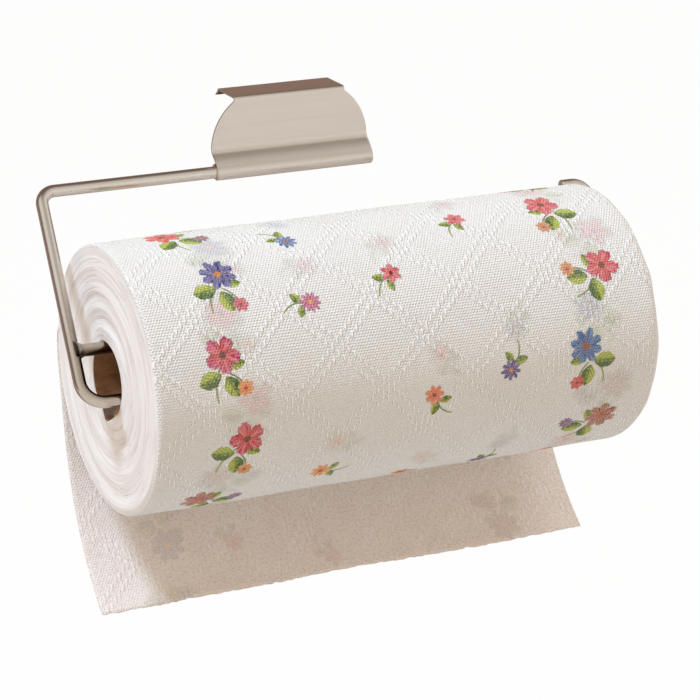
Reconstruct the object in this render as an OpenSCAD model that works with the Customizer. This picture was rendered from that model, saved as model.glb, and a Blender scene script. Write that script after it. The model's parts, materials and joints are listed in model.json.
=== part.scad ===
// Over-the-door paper towel holder: a folded sheet hook, a bent rod frame hanging from its hem,
// and a roll of towels that turns on the frame's two bars.
// Origin: middle of the hook's top, on the face that rests on the door's upper edge.
// +X runs along the roll, +Y goes back through the door, +Z is up. Millimetres.

/* [Door hook] */
// Thickness of the door that the hook hangs on
door_t = 19; // [16:0.5:22]
// Play between the door and the hook
door_play = 0.4; // [0.2:0.1:1]
// Thickness of the stainless sheet
steel_t = 1.2; // [0.8:0.1:1.6]
// Width of the hook's top and of its rear lip
top_w = 63; // [50:1:72]
// Width of the front plate at its rolled hem
plate_w = 89; // [80:1:110]
// Radius of the plate's two round shoulders
shoulder_r = 31; // [26:1:36]
// Depth of the shoulders' centres under the door's upper edge
shoulder_drop = 26.5; // [22:0.5:30]
// Depth of the rail's axis under the door's upper edge
rail_drop = 36.6; // [34:0.2:46]
// Depth of the rear lip under the door's upper edge
lip_drop = 2.2; // [2:0.2:6]
// Radius inside the two folds of the top
fold_r = 0.5; // [0.4:0.1:1]
// Radius of the hollow bend from the plate forward to the apron
sweep_r = 5; // [3:0.5:7]
// Forward tilt of the flat apron between that bend and the hem, in degrees from upright
apron_tilt = 45; // [42:1:55]
// Height of the hem's free edge round the rail, in degrees above level
hem_end = 70; // [30:5:72]
// Gap from the hem's back to the plane of the plate's back
hem_gap = 0.8; // [0.4:0.1:2]
// Radius of the plate's two lower corners
corner_r = 2; // [1:0.5:3]

/* [Foam pad] */
// Thickness of the pad between the plate and the door
pad_t = 1; // [0.5:0.1:2]
// Distance of the pad's edges inside the edges of the plate's flat
pad_margin = 2; // [1:0.5:5]
// Radius of the pad's corners
pad_r = 3; // [1:0.5:5]

/* [Rod frame] */
// Diameter of the rod
rod_d = 6.35; // [5:0.05:7]
// Forward lean of the frame from upright, in degrees
lean = 43.3; // [38:0.1:50]
// Outward lean of the leg within the frame, in degrees
leg_splay = 4.3; // [0:0.1:6]
// Outward lean of the riser within the frame, in degrees
riser_splay = 2; // [0:0.1:6]
// Shift of the frame and roll to the right of the hook's middle
frame_shift = 8.2; // [0:0.1:20]
// Gap between the roll's ends and the leg and riser
side_gap = 14.9; // [12.6:0.1:25]
// Bend radius of the rod's upper corners, to its axis
upper_bend_r = 8; // [5:0.1:9]
// Bend radius of the rod's lower corners, to its axis
lower_bend_r = 11; // [7:0.5:12]
// Distance of the hooked end under the rail, down the frame's slope
stub_drop = 32.2; // [20:0.2:45]
// Gap from the hooked end to the roll's end
stub_gap = 1; // [0.5:0.1:4]
// Distance of the rod's end inside the hem's right edge
rail_inset = 2; // [1:0.5:10]
// Bevel round the rod's cut ends
end_bevel = 0.4; // [0.2:0.1:0.8]
// Gap left at a fit between two pieces of the frame
weld_fit = 0.05; // [0.02:0.01:0.1]
// Thickness of the weld round the upper bar's ends
weld_h = 0.9; // [0.5:0.1:1.5]
// Length of the weld along the upper bar
weld_l = 1.4; // [0.8:0.1:2]

/* [Towel roll] */
// Diameter of the full roll
roll_d = 137.8; // [110:0.2:150]
// Length of the roll
roll_l = 279; // [220:1:300]
// Bore of the cardboard core
core_bore = 39.5; // [38:0.1:45]
// Wall of the cardboard core
core_t = 0.8; // [0.5:0.1:1.5]
// Radius of the roll's soft outer rims
rim_r = 2; // [0.5:0.5:5]
// Distance of the core's ends inside the roll's ends
core_inset = 0.5; // [0.2:0.1:3]
// Gap between the core and the bars that carry it
core_play = 0.05; // [0.02:0.01:0.1]
// Angle between the two bars, seen from the roll's axis
bar_spread = 122.7; // [110:0.1:130]
// Gap between the wound paper and its core
wind_fit = 0.05; // [0.02:0.01:0.1]
// Gap between the back of the roll and the door
door_gap = 3; // [2:0.1:8]

/* [Hanging towel] */
// Thickness of the towel
towel_t = 0.5; // [0.3:0.1:1]
// Gap between the towel and the roll that it leaves
towel_gap = 0.3; // [0.3:0.1:0.6]
// Angle that the towel still follows the back of the roll
cling = 11; // [5:1:25]
// Length of the straight stretch under that
towel_straight = 35; // [20:1:50]
// Radius of the curl at the towel's free end
curl_r = 135; // [100:5:250]
// Angle of the curl
curl = 41.5; // [20:0.5:45]

/* [Hidden] */
$fn = 96;
// How far a cutter runs past what it cuts
eps = 0.01;
// Bends stand proud of the straights by a hair, and straights run a little way into them,
// so that the two join at any size
proud = 0.01;
lap = 0.1;

steel_color = [0.80, 0.76, 0.71];
rod_color = [0.84, 0.81, 0.78];
weld_color = [0.55, 0.52, 0.48];
foam_color = [0.13, 0.12, 0.12];
card_color = [0.60, 0.47, 0.34];
paper_color = [0.95, 0.93, 0.91];

// Hook, from the door outwards
slot_w = door_t + door_play;
pad_face_y = -slot_w / 2;
plate_back_y = pad_face_y - pad_t;
plate_front_y = plate_back_y - steel_t;
lip_in_y = slot_w / 2;
rod_r = rod_d / 2;
hem_r = rod_r + weld_fit;
rail_y = plate_back_y - hem_gap - steel_t - hem_r;
rail_z = -rail_drop;

// The hollow bend and the hem curve opposite ways, and the flat apron touches both
sweep_y = plate_front_y - sweep_r;
hem_out = hem_r + steel_t;
apron_l = (sweep_y - rail_y + (sweep_r + hem_out) * cos(apron_tilt)) / sin(apron_tilt);
sweep_z = rail_z + apron_l * cos(apron_tilt) + (sweep_r + hem_out) * sin(apron_tilt);

// Roll: its back stands clear of the door, and its core rests on both bars
roll_r = roll_d / 2;
core_r = core_bore / 2;
bar_r = core_r - core_play - rod_r;
axis_y = pad_face_y - door_gap - roll_r;
bars_half = bar_r * sin(bar_spread / 2);
bars_out = bar_r * cos(bar_spread / 2);
bars_drop = (rail_y + bars_out * cos(lean) - axis_y) / sin(lean);
axis_z = rail_z - bars_drop * cos(lean) - bars_out * sin(lean);
upper_drop = bars_drop - bars_half;
lower_drop = bars_drop + bars_half;
roll_x0 = frame_shift - roll_l / 2;
roll_x1 = frame_shift + roll_l / 2;

// Corners of the rod's axis in the frame's own plane: x, then height above the rail
low_left = [roll_x0 - side_gap - rod_r, -lower_drop];
low_right = [roll_x1 + side_gap + rod_r, -lower_drop];
top_left = [low_left.x + lower_drop * tan(leg_splay), 0];
top_right = [low_right.x - (lower_drop - stub_drop) * tan(riser_splay), -stub_drop];
rail_end = [plate_w / 2 - rail_inset, 0];
stub_end = [roll_x1 + stub_gap, -stub_drop];
cross_left = [low_left.x + (lower_drop - upper_drop) * tan(leg_splay), -upper_drop];
cross_right = [low_right.x - (lower_drop - upper_drop) * tan(riser_splay), -upper_drop];

// Towel: it leaves the back of the roll, hangs and curls forward
towel_r = roll_r + towel_gap;

// How far the bend in the middle of a soft rim stands in from the roll's corner
rim_bend = rim_r * (1 - sqrt(0.5));

// ---- Profiles and rods ----

// A sector of a ring: inner radius r, wall t, from angle a0 to angle a1, about a point
module ring_sector(at, r, t, a0, a1) {
    steps = 4;
    reach = 2 * (r + t);
    edge = [for (i = [0:steps]) let (a = a0 + (a1 - a0) * i / steps) reach * [cos(a), sin(a)]];
    translate(at)
        intersection() {
            difference() {
                circle(r + t);
                circle(r);
            }
            polygon(concat([[0, 0]], edge));
        }
}

// A bend in a strip of thickness t, a hair thicker than the strip on both faces
module strip_bend(at, r, t, a0, a1) {
    ring_sector(at, r - proud, t + 2 * proud, a0, a1);
}

// Turns a drawing in Y and Z into a solid along X
module along_x(length) {
    rotate([90, 0, 90])
        linear_extrude(height = length, center = true)
            children();
}

// Lays a drawing of the frame's plane into place: hung from the rail and leaning forward
module in_frame() {
    translate([0, rail_y, rail_z])
        rotate([90 - lean, 0, 0])
            children();
}

function direction(a, b) = (b - a) / norm(b - a);

// Turns what stands on Z so that it points from a to b in the frame's plane
module aimed(a, b) {
    way = b - a;
    translate(a)
        rotate([0, 90, atan2(way.y, way.x)])
            children();
}

// A straight length of rod between two points of the frame's plane
module rod_between(a, b, d = rod_d) {
    aimed(a, b)
        cylinder(d = d, h = norm(b - a));
}

// The same between two bends, run a little way into both
module straight(a, b) {
    rod_between(a - lap * direction(a, b), b + lap * direction(a, b));
}

// The same from a bend at a to a cut and bevelled end at b
module rod_to_end(a, b) {
    start = a - lap * direction(a, b);
    length = norm(b - start);
    aimed(start, b)
        rotate_extrude()
            polygon([[0, 0], [rod_r, 0], [rod_r, length - end_bevel],
                     [rod_r - end_bevel, length], [0, length]]);
}

function turn(a, b, c) = acos(direction(a, b) * direction(b, c));
function side(a, b, c) = sign(cross(direction(a, b), direction(b, c)));
// Where a bend of radius r at corner b starts and ends
function bend_start(a, b, c, r) = b - direction(a, b) * r * tan(turn(a, b, c) / 2);
function bend_end(a, b, c, r) = b + direction(b, c) * r * tan(turn(a, b, c) / 2);

// The bend itself, a piece of a torus a hair thicker than the rod
module rod_bend(a, b, c, r) {
    start = bend_start(a, b, c, r);
    along = direction(a, b);
    middle = start + side(a, b, c) * r * [-along.y, along.x];
    out = start - middle;
    first = atan2(out.y, out.x) - (side(a, b, c) < 0 ? turn(a, b, c) : 0);
    translate(middle)
        rotate(first)
            rotate_extrude(angle = turn(a, b, c))
                translate([r, 0])
                    circle(rod_r + proud);
}

// ---- Hook ----

// The sheet seen from its end: lip, top, plate, hollow bend, apron and hem in one strip
module bracket_profile() {
    strip_bend([lip_in_y - fold_r, -fold_r], fold_r, steel_t, 0, 90);
    translate([lip_in_y, -lip_drop])
        square([steel_t, lip_drop - fold_r + lap]);
    translate([plate_back_y + fold_r - lap, 0])
        square([lip_in_y - plate_back_y - 2 * (fold_r - lap), steel_t]);
    strip_bend([plate_back_y + fold_r, -fold_r], fold_r, steel_t, 90, 180);
    translate([plate_front_y, sweep_z - lap])
        square([steel_t, 2 * lap - fold_r - sweep_z]);
    strip_bend([sweep_y, sweep_z], sweep_r, steel_t, -apron_tilt, 0);
    translate([rail_y, rail_z])
        rotate(180 - apron_tilt)
            translate([hem_r + proud, -apron_l - lap])
                square([steel_t - 2 * proud, apron_l + 2 * lap]);
    ring_sector([rail_y, rail_z], hem_r, steel_t, 180 - apron_tilt, 360 + hem_end);
}

// The sheet seen from the front: narrow top, round shoulders, wide hem
module bracket_outline() {
    bottom = rail_z - hem_out;
    translate([-top_w / 2, -shoulder_drop])
        square([top_w, shoulder_drop + steel_t]);
    for (s = [-1, 1])
        translate([s * (plate_w / 2 - shoulder_r), -shoulder_drop])
            intersection() {
                circle(shoulder_r);
                translate([-shoulder_r, 0])
                    square([2 * shoulder_r, shoulder_drop]);
            }
    translate([-plate_w / 2, bottom + corner_r])
        square([plate_w, -shoulder_drop - bottom - corner_r]);
    translate([corner_r - plate_w / 2, bottom])
        square([plate_w - 2 * corner_r, corner_r]);
    for (s = [-1, 1])
        translate([s * (plate_w / 2 - corner_r), bottom + corner_r])
            circle(corner_r);
}

module bracket() {
    reach = slot_w + sweep_r + rod_d;
    color(steel_color)
        intersection() {
            along_x(plate_w)
                bracket_profile();
            rotate([90, 0, 0])
                linear_extrude(height = 2 * reach, center = true)
                    bracket_outline();
        }
}

// Foam on the flat of the plate's back, where it meets the door
module back_pad() {
    low = sweep_z + pad_margin;
    high = -fold_r - pad_margin;
    wide = top_w / 2 - pad_margin;
    color(foam_color)
        translate([0, pad_face_y, 0])
            rotate([90, 0, 0])
                linear_extrude(height = pad_t)
                    union() {
                        translate([-wide, low + pad_r])
                            square([2 * wide, high - low - 2 * pad_r]);
                        translate([pad_r - wide, low])
                            square([2 * (wide - pad_r), high - low]);
                        for (x = [pad_r - wide, wide - pad_r], z = [low + pad_r, high - pad_r])
                            translate([x, z])
                                circle(pad_r);
                    }
}

// ---- Rod frame ----

// One bent rod: rail, leg, lower bar, riser and the short hooked end
module frame_rod() {
    color(rod_color)
        in_frame() {
            rod_to_end(bend_start(rail_end, top_left, low_left, upper_bend_r), rail_end);
            rod_bend(rail_end, top_left, low_left, upper_bend_r);
            straight(bend_end(rail_end, top_left, low_left, upper_bend_r),
                     bend_start(top_left, low_left, low_right, lower_bend_r));
            rod_bend(top_left, low_left, low_right, lower_bend_r);
            straight(bend_end(top_left, low_left, low_right, lower_bend_r),
                     bend_start(low_left, low_right, top_right, lower_bend_r));
            rod_bend(low_left, low_right, top_right, lower_bend_r);
            straight(bend_end(low_left, low_right, top_right, lower_bend_r),
                     bend_start(low_right, top_right, stub_end, upper_bend_r));
            rod_bend(low_right, top_right, stub_end, upper_bend_r);
            rod_to_end(bend_end(low_right, top_right, stub_end, upper_bend_r), stub_end);
        }
}

// The room that the leg and the riser take, with a fit all round
module uprights() {
    rod_between(top_left, low_left, rod_d + 2 * weld_fit);
    rod_between(low_right, top_right, rod_d + 2 * weld_fit);
}

// The upper bar, its ends hollowed to sit on the leg and the riser
module cross_rod() {
    color(rod_color)
        in_frame()
            difference() {
                rod_between(cross_left, cross_right);
                uprights();
            }
}

// Fillet weld round one end of the upper bar: at is that end, way is 1 or -1 along X
module weld(at, way) {
    reach = rod_r + weld_l;
    color(weld_color)
        in_frame()
            difference() {
                translate(at)
                    rotate([0, 90 * way, 0])
                        cylinder(h = reach, r1 = rod_r + weld_h + weld_l, r2 = rod_r + weld_h / 3);
                rod_between(cross_left, cross_right, rod_d + 2 * weld_fit);
                uprights();
            }
}

module weld_left() {
    weld(cross_left, 1);
}

module weld_right() {
    weld(cross_right, -1);
}

// ---- Roll and towel ----

// A tube about the roll's axis, its ends drawn in by inset
module roll_tube(r_out, r_in, inset) {
    translate([roll_x0 + inset, axis_y, axis_z])
        rotate([0, 90, 0])
            difference() {
                cylinder(r = r_out, h = roll_l - 2 * inset);
                translate([0, 0, -eps])
                    cylinder(r = r_in, h = roll_l - 2 * inset + 2 * eps);
            }
}

module core() {
    color(card_color)
        roll_tube(core_r + core_t, core_r, core_inset);
}

// Half of the wound paper cut through, its two soft outer rims drawn as two bevels each
module wound_half() {
    bore = core_r + core_t + wind_fit;
    low = [[roll_r - rim_r, 0], [roll_r - rim_bend, rim_bend], [roll_r, rim_r]];
    high = [for (i = [2, 1, 0]) [low[i].x, roll_l - low[i].y]];
    polygon(concat([[bore, 0]], low, high, [[bore, roll_l]]));
}

module paper_roll() {
    color(paper_color)
        translate([roll_x0, axis_y, axis_z])
            rotate([0, 90, 0])
                rotate_extrude()
                    wound_half();
}

// The towel seen from its end: round the roll's back, straight, then curled forward
module towel_profile() {
    strip_bend([0, 0], towel_r, towel_t, -cling, 0);
    rotate(-cling) {
        translate([towel_r, -towel_straight - lap])
            square([towel_t, towel_straight + 2 * lap]);
        strip_bend([towel_r - curl_r, -towel_straight], curl_r, towel_t, -curl, 0);
    }
}

module sheet() {
    color(paper_color)
        translate([frame_shift, axis_y, axis_z])
            along_x(roll_l)
                towel_profile();
}

bracket();
back_pad();
frame_rod();
cross_rod();
weld_left();
weld_right();
core();
paper_roll();
sheet();
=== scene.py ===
# %% [markdown]
# # A paper towel holder that hangs on a cabinet door
# The holder is a folded steel hook with a bent rod frame, and a roll of printed paper towels
# turns on the frame. The exact solids come packed from CAD, in metres, in one shared frame:
# +X along the roll, +Y back through the door, +Z up, with the origin on the door's upper edge.
# Here they get their looks: finer meshes where the CAD solid is plain, and a finish for each.

import json
import math

import bpy
import numpy as np
from mathutils import Euler, Matrix, Vector


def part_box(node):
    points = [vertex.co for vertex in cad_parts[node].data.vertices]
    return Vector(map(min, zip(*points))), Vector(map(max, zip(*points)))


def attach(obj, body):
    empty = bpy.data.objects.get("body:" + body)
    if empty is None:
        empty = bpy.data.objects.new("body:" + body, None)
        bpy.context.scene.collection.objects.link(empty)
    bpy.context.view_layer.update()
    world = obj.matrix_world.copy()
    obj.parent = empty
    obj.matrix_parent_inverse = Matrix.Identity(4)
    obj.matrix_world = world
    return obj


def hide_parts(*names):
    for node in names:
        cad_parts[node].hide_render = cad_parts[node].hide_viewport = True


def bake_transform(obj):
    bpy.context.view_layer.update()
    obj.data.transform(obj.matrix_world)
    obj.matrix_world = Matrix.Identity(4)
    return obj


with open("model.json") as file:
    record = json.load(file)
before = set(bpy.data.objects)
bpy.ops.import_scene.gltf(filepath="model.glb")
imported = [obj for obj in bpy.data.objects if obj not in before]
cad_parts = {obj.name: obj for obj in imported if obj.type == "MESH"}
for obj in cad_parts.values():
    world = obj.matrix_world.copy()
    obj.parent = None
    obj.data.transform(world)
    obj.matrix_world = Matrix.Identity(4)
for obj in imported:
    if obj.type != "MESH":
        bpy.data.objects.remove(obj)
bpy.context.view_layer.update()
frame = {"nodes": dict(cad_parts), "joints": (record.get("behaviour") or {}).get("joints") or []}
nodes = frame["nodes"]
scene = bpy.context.scene
bpy.ops.object.select_all(action="DESELECT")
MM = 0.001
MM_PER_M = 1000

# %% [markdown]
# ## Camera
# The holder is seen from in front, a little from the left and above, with a long lens, so that
# the lines along the roll draw together only slightly. Blender's camera looks down its own -Z:
# turning it up by 90 degrees less the pitch makes it look level and then down, and the yaw is
# a turn about the world's Z.

# %% Camera
view = bpy.data.cameras.new("view")
view.sensor_width = 36
view.lens = 151.39
camera = bpy.data.objects.new("view", view)
standpoint = (-0.61975, -1.37718, 0.35098)
yaw, pitch, tilt = 25.632, 18.154, 0.24
turned = Euler((math.radians(90 - pitch), 0, math.radians(-yaw))).to_matrix()
turned = turned @ Matrix.Rotation(math.radians(tilt), 3, "Z")
camera.matrix_world = Matrix.Translation(standpoint) @ turned.to_4x4()
scene.collection.objects.link(camera)
scene.camera = camera
print("camera", [round(x, 3) for x in camera.location])

# %% [markdown]
# ## Fields
# A printed or embossed surface is a picture made of sums. Each value that changes over the
# surface is a field here, and adding or multiplying two fields makes a Math node, so a pattern
# can be written as a formula and still ends as ordinary nodes that can be opened in the editor.
# Wiring hundreds of nodes one by one would do the same, but nobody could read it.

# %% Fields
class Field:
    """A value that changes over a surface, held as the socket of a node that gives it."""

    def __init__(self, tree, socket):
        self.tree, self.socket = tree, socket

    def made(self, operation, *others, clamp=False):
        """The field that a Math node makes of this one and the others."""
        node = self.tree.nodes.new("ShaderNodeMath")
        node.operation = operation
        node.use_clamp = clamp
        for slot, value in zip(node.inputs, (self, *others)):
            if isinstance(value, Field):
                self.tree.links.new(value.socket, slot)
            else:
                slot.default_value = value
        return Field(self.tree, node.outputs[0])

    def __add__(self, other):
        return self.made("ADD", other)

    def __sub__(self, other):
        return self.made("SUBTRACT", other)

    def __mul__(self, other):
        return self.made("MULTIPLY", other)

    def __truediv__(self, other):
        return self.made("DIVIDE", other)

    def __rsub__(self, other):
        return (self * -1) + other

    __radd__ = __add__
    __rmul__ = __mul__

    def size(self):
        return self.made("ABSOLUTE")

    def wave(self):
        """Cosine of a field in turns."""
        return (self * math.tau).made("COSINE")

    def bounded(self):
        return self.made("ADD", 0, clamp=True)

    def above(self, edge, soft):
        """0 below the edge, 1 above it, with a ramp as wide as soft between them."""
        return ((self - edge) / soft + 0.5).bounded()

    def most(self, other):
        return self.made("MAXIMUM", other)

    def power(self, exponent):
        return self.made("POWER", exponent)

    def rounded(self):
        return self.made("ROUND")


def linear(red, green, blue):
    """A screen colour from 0 to 255 as the linear colour that Blender's sockets hold."""
    def one(value):
        value /= 255
        return value / 12.92 if value <= 0.04045 else ((value + 0.055) / 1.055) ** 2.4
    return (one(red), one(green), one(blue), 1)


def put(tree, slot, value):
    """Sets a socket to a number, a vector or a colour, or links a field or a socket to it."""
    if isinstance(value, Field):
        value = value.socket
    if isinstance(value, bpy.types.NodeSocket):
        tree.links.new(value, slot)
    else:
        slot.default_value = value


def split(tree, vector):
    """The X, Y and Z of a vector as three fields."""
    node = tree.nodes.new("ShaderNodeSeparateXYZ")
    put(tree, node.inputs[0], vector)
    return [Field(tree, part) for part in node.outputs]


def joined(tree, x, y, z=0.0):
    """A vector of three numbers or fields."""
    node = tree.nodes.new("ShaderNodeCombineXYZ")
    for slot, value in zip(node.inputs, (x, y, z)):
        put(tree, slot, value)
    return node.outputs[0]


def vector_math(tree, operation, *vectors):
    """The outputs of a Vector Math node: Vector, and Value for a dot product."""
    node = tree.nodes.new("ShaderNodeVectorMath")
    node.operation = operation
    for slot, value in zip(node.inputs, vectors):
        put(tree, slot, value)
    return node.outputs


def own_place(tree):
    """Place on a piece in metres, in the shared frame."""
    return tree.nodes.new("ShaderNodeTexCoord").outputs["Object"]


def moved(tree, vector, x=0.0, y=0.0, turn=0.0):
    """A vector seen from a spot at x and y and turned there, in millimetres and turns."""
    spin = tree.nodes.new("ShaderNodeVectorRotate")
    spin.rotation_type = "Z_AXIS"
    put(tree, spin.inputs["Vector"], vector_math(tree, "SUBTRACT", vector, (x, y, 0))["Vector"])
    put(tree, spin.inputs["Angle"], turn * math.tau)
    return spin.outputs[0]


def noise(tree, vector, scale, detail=2.0, roughness=0.5, stretch=None):
    """Smooth noise from 0 to 1 about a vector."""
    if stretch:
        node = tree.nodes.new("ShaderNodeMapping")
        node.inputs["Scale"].default_value = stretch
        put(tree, node.inputs["Vector"], vector)
        vector = node.outputs[0]
    node = tree.nodes.new("ShaderNodeTexNoise")
    node.inputs["Scale"].default_value = scale
    node.inputs["Detail"].default_value = detail
    node.inputs["Roughness"].default_value = roughness
    put(tree, node.inputs["Vector"], vector)
    return Field(tree, node.outputs["Fac"])


def mixed(tree, low, high, share, how="MIX"):
    """Colour low where share is 0 and colour high where it is 1."""
    node = tree.nodes.new("ShaderNodeMix")
    node.data_type = "RGBA"
    node.blend_type = how
    put(tree, node.inputs["Factor"], share)
    put(tree, node.inputs["A"], low)
    put(tree, node.inputs["B"], high)
    return node.outputs["Result"]


def ramp(tree, field, *stops):
    """Colours by place along a field: each stop is (place, colour)."""
    node = tree.nodes.new("ShaderNodeValToRGB")
    put(tree, node.inputs[0], field)
    marks = node.color_ramp.elements
    while len(marks) < len(stops):
        marks.new(0.5)
    for mark, (place, color) in zip(marks, stops):
        mark.position, mark.color = place, color
    return node.outputs["Color"]


def new_group(name, inputs, outputs):
    """An empty node group, with its inputs and outputs as (kind, name) pairs."""
    tree = bpy.data.node_groups.new(name, "ShaderNodeTree")
    for way, wanted in (("INPUT", inputs), ("OUTPUT", outputs)):
        for kind, label in wanted:
            tree.interface.new_socket(label, in_out=way, socket_type="NodeSocket" + kind)
    return tree, tree.nodes.new("NodeGroupInput").outputs, tree.nodes.new("NodeGroupOutput").inputs


def placed(tree, group, **values):
    """One use of a node group, with its inputs set or linked by name."""
    node = tree.nodes.new("ShaderNodeGroup")
    node.node_tree = group
    for label, value in values.items():
        put(tree, node.inputs[label.replace("_", " ")], value)
    return node.outputs


def finish(name, roughness=0.5, metallic=0.0, specular=0.5):
    """A new material with a Principled shader, and that shader's tree and sockets."""
    material = bpy.data.materials.new(name)
    material.use_nodes = True
    shader = material.node_tree.nodes["Principled BSDF"]
    shader.inputs["Roughness"].default_value = roughness
    shader.inputs["Metallic"].default_value = metallic
    shader.inputs["Specular IOR Level"].default_value = specular
    return material, material.node_tree, shader.inputs


def bumped(tree, height, distance, strength=1.0):
    """A normal that shows a height as relief, with a height of 1 as tall as distance, in metres."""
    node = tree.nodes.new("ShaderNodeBump")
    node.inputs["Distance"].default_value = distance
    node.inputs["Strength"].default_value = strength
    put(tree, node.inputs["Height"], height)
    return node.outputs[0]


print("fields ready")

# %% [markdown]
# ## The printed flowers
# Kitchen towels are printed with loose sprigs in watercolour tones. One blossom, one leaf and
# one stem are enough: each is a node group that draws itself about a place, in millimetres, and
# gives a colour and a mask. A blossom's edge is a circle whose radius rises and falls with the
# angle, once for each petal. The Blur input softens the edge, for prints that show through.

# %% Blossom, leaf and stem
blossom, into, out = new_group(
    "blossom",
    [("Vector", "Place"), ("Float", "Reach"), ("Float", "Petals"), ("Float", "Notch"),
     ("Color", "Inner"), ("Color", "Outer"), ("Color", "Heart"), ("Float", "Blur")],
    [("Color", "Color"), ("Float", "Mask")],
)
x, y, _ = split(blossom, into["Place"])
reach, petals, notch, blur = (Field(blossom, into[n]) for n in ("Reach", "Petals", "Notch", "Blur"))
far = (x * x + y * y).power(0.5)
around = y.made("ARCTAN2", x) / math.tau
petal = (around * petals * 0.5).wave().size()
brush = noise(blossom, into["Place"], 0.42, 3)
ragged = noise(blossom, into["Place"], 1.5, 2)
edge = reach * (1 - notch * (1 - petal.power(0.6)) + (brush - 0.5) * 0.5 + (ragged - 0.5) * 0.22)
put(blossom, out["Mask"], (edge - far).above(0, blur))
streaks = noise(blossom, joined(blossom, (around * 24).wave(), around * 31, far * 0.12), 1.1, 2)
wash = mixed(blossom, into["Inner"], into["Outer"], (far / reach + (brush - 0.5) * 2).bounded())
light = mixed(blossom, wash, linear(250, 236, 226), (streaks - 0.56).above(0, 0.2) * 0.3)
dark = mixed(blossom, light, into["Outer"], (0.44 - streaks).above(0, 0.16) * 0.8, "MULTIPLY")
creased = mixed(blossom, dark, into["Outer"], (0.3 - petal).above(0, 0.3) * 0.7, "MULTIPLY")
middle_r = reach * 0.2 + (brush - 0.5) * 2
put(blossom, out["Color"], mixed(blossom, creased, into["Heart"], (middle_r - far).above(0, 0.8)))

leaf, into, out = new_group(
    "leaf",
    [("Vector", "Place"), ("Float", "Length"), ("Float", "Width"), ("Float", "Blur")],
    [("Color", "Color"), ("Float", "Mask")],
)
x, y, _ = split(leaf, into["Place"])
length, width, blur = (Field(leaf, into[n]) for n in ("Length", "Width", "Blur"))
along = x / length
within = along.above(0, 0.02) * (1 - along.above(1, 0.02))
brush = noise(leaf, into["Place"], 0.6, 3, 0.65)
half = (along * 0.5 - 0.25).wave().bounded().power(0.7) * width * (0.72 + 0.8 * (brush - 0.3))
put(leaf, out["Mask"], (half - y.size()).above(0, blur) * within)
fresh = mixed(leaf, linear(78, 106, 38), linear(186, 196, 78), (brush + y * 0.1).above(0.5, 0.3))
veins = ((along * 5 - y.size() * 0.5).wave() - 0.72).above(0, 0.3).most((0.3 - y.size()).above(0, 0.3))
put(leaf, out["Color"], mixed(leaf, fresh, linear(52, 74, 34), veins * 0.55))

stem, into, out = new_group(
    "stem",
    [("Vector", "Place"), ("Float", "Length"), ("Float", "Bow"), ("Float", "Blur")],
    [("Color", "Color"), ("Float", "Mask")],
)
x, y, _ = split(stem, into["Place"])
length, bow, blur = (Field(stem, into[n]) for n in ("Length", "Bow", "Blur"))
along = x / length
within = along.above(0, 0.04) * (1 - along.above(1, 0.04))
bent = y - bow * along * (1 - along) * 4
put(stem, out["Mask"], (0.36 - bent.size() + along * 0.12).above(0, blur) * within)
put(stem, out["Color"], mixed(stem, linear(64, 84, 40), linear(150, 165, 70), along.bounded()))
print("drawn:", blossom.name, leaf.name, stem.name)

# %% [markdown]
# ## Sprigs
# A sprig stacks stems, leaves and blossoms like cut paper: each new piece hides what lies under
# it where its mask is 1. The seed, one random number for each sprig, picks a place along the
# three rows of colours and the number of petals, so that neighbours rarely look alike. Turns are
# whole turns, so 0.25 is a quarter.

# %% Sprigs
INNER = (
    (0, linear(228, 88, 60)), (0.2, linear(232, 84, 78)), (0.42, linear(238, 128, 40)),
    (0.6, linear(122, 70, 142)), (0.8, linear(62, 96, 158)), (1, linear(224, 82, 92)),
)
OUTER = (
    (0, linear(198, 58, 118)), (0.2, linear(226, 104, 96)), (0.42, linear(240, 180, 62)),
    (0.6, linear(84, 62, 136)), (0.8, linear(84, 134, 184)), (1, linear(196, 84, 140)),
)
HEART = (
    (0, linear(110, 48, 40)), (0.45, linear(150, 60, 34)), (0.6, linear(228, 150, 50)),
    (0.8, linear(150, 90, 50)), (1, linear(236, 180, 70)),
)


def over(tree, below, piece):
    """A drawn piece laid over what is already there, both as (colour, mask)."""
    color = mixed(tree, below[0], piece["Color"], piece["Mask"])
    return color, Field(tree, below[1]).most(Field(tree, piece["Mask"])).socket


def sprig_group(name, leaves, stems, blossoms):
    """leaves: x, y, turn, length, width. stems: x, y, turn, length, bow.
    blossoms: x, y, reach, notch, fewest petals, shift of the seed."""
    tree, into, out = new_group(
        name, [("Vector", "Place"), ("Float", "Seed"), ("Float", "Blur")],
        [("Color", "Color"), ("Float", "Mask")],
    )
    blur, seed = into["Blur"], Field(tree, into["Seed"])
    picture = None
    for x, y, turn, length, bow in stems:
        place = moved(tree, into["Place"], x, y, -turn)
        piece = placed(tree, stem, Place=place, Length=length, Bow=bow, Blur=blur)
        picture = over(tree, picture, piece) if picture else (piece["Color"], piece["Mask"])
    for x, y, turn, length, width in leaves:
        place = moved(tree, into["Place"], x, y, -turn)
        piece = placed(tree, leaf, Place=place, Length=length, Width=width, Blur=blur)
        picture = over(tree, picture, piece)
    for x, y, reach, notch, fewest, shift in blossoms:
        pick = (seed + shift).made("FRACT")
        inner, outer, heart = (ramp(tree, pick, *tones) for tones in (INNER, OUTER, HEART))
        place = moved(tree, into["Place"], x, y, shift)
        piece = placed(
            tree, blossom, Place=place, Reach=reach, Petals=(pick * 4 + fewest).rounded(),
            Notch=notch, Inner=inner, Outer=outer, Heart=heart, Blur=blur,
        )
        picture = over(tree, picture, piece)
    put(tree, out["Color"], picture[0])
    put(tree, out["Mask"], picture[1])
    print(name, len(tree.nodes), "nodes")
    return tree


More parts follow.
